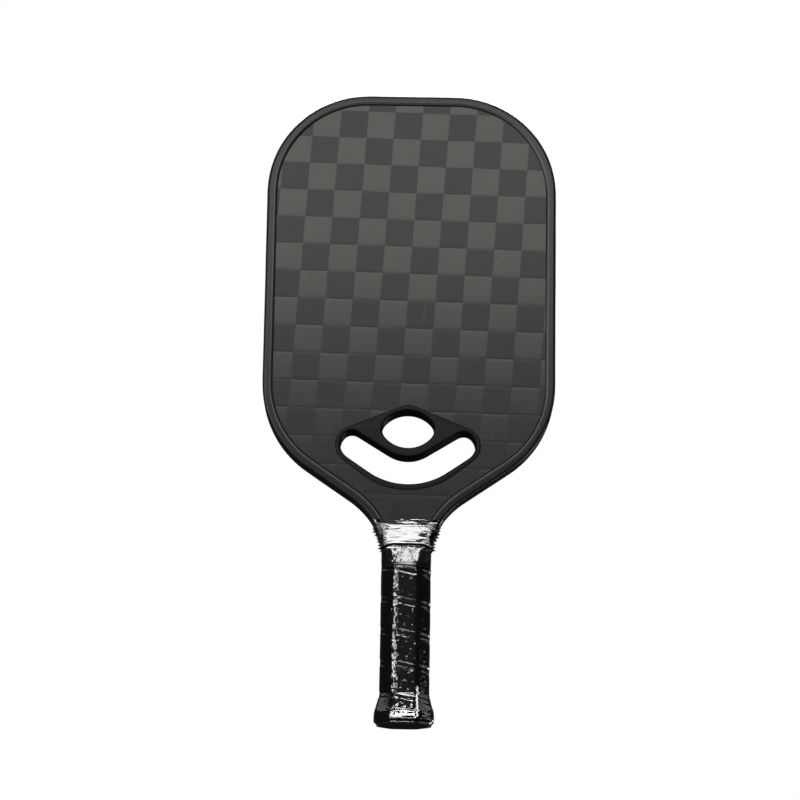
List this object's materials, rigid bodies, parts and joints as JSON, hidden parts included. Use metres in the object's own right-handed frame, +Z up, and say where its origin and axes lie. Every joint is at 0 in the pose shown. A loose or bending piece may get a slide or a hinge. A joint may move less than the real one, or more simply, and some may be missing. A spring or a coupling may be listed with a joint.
{
  "type": "pickleball paddle",
  "caption": "Flat square-cornered paddle with a woven carbon face, black edge guard, open throat with oval window and curved slot, and a short eight-sided wrapped handle in clear film.",
  "frame": {"origin": "centre of the flat end of the butt cap", "axes": "+Z up from the butt end to the head tip, X across the blade, -Y out of the front face"},
  "size_m": [0.1906, 0.0368, 0.4191],
  "materials": {
    "honeycomb": "translucent white polypropylene",
    "backing": "cured glass-fibre sheet",
    "carbon": "satin woven carbon fibre in large squares",
    "tape": "double-sided adhesive tape",
    "guard": "satin black flexible plastic",
    "bezel": "fine matte black moulding",
    "shell": "hard polyurethane foam",
    "cap": "matte black moulding",
    "staple": "bright galvanised wire",
    "grip": "perforated black polyurethane tape",
    "finishing": "smooth black vinyl tape",
    "film": "crinkled clear shrink film"
  },
  "bodies": {
    "root": {"honeycomb_core": "honeycomb", "front_backing_ply": "backing", "rear_backing_ply": "backing", "front_carbon_ply": "carbon", "rear_carbon_ply": "carbon", "edge_guard_tape": "tape", "edge_guard": "guard", "front_throat_bezel": "bezel", "rear_throat_bezel": "bezel", "front_handle_shell": "shell", "rear_handle_shell": "shell", "butt_cap": "cap", "butt_cap_staples": "staple", "grip_staple": "staple", "grip_wrap": "grip", "grip_finishing_tape": "finishing", "clear_film": "film"}
  },
  "joints": []
}
